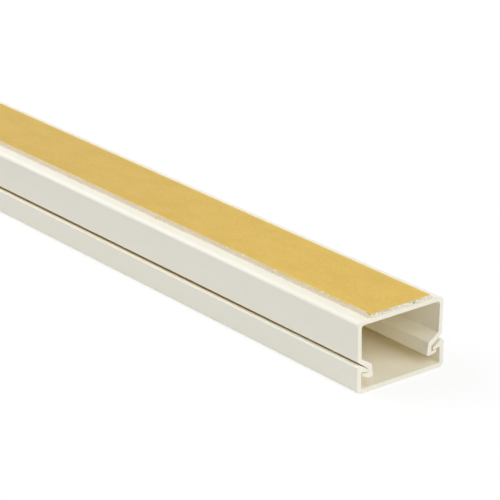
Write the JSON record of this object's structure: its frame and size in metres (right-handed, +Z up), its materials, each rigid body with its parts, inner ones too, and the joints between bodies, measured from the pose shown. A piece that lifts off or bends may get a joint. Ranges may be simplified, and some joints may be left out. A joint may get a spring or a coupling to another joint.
{
  "type": "cord cover raceway",
  "caption": "Straight two-piece raceway for cords: a deep channel with hooked edges and a self-adhesive back, closed by a lipped cover that slides along it.",
  "frame": {"origin": "middle of the length, on the cover's outer face, centred across the width", "axes": "+X across the raceway, +Y along it away from the end in the picture, +Z up from the cover's face towards the taped back"},
  "size_m": [0.025, 0.4, 0.0181],
  "materials": {
    "ivory_pvc": "satin extruded",
    "foam": "cut foam",
    "liner_paper": "coated release paper"
  },
  "bodies": {
    "base": {"base_channel": "ivory_pvc", "foam_tape": "foam", "release_liner": "liner_paper"},
    "cover": {"cover": "ivory_pvc"}
  },
  "joints": [
    {"name": "cover_slide", "type": "slide", "parent": "base", "child": "cover", "axis": [0, 1, 0], "range_m": [-0.38, 0.38]}
  ]
}
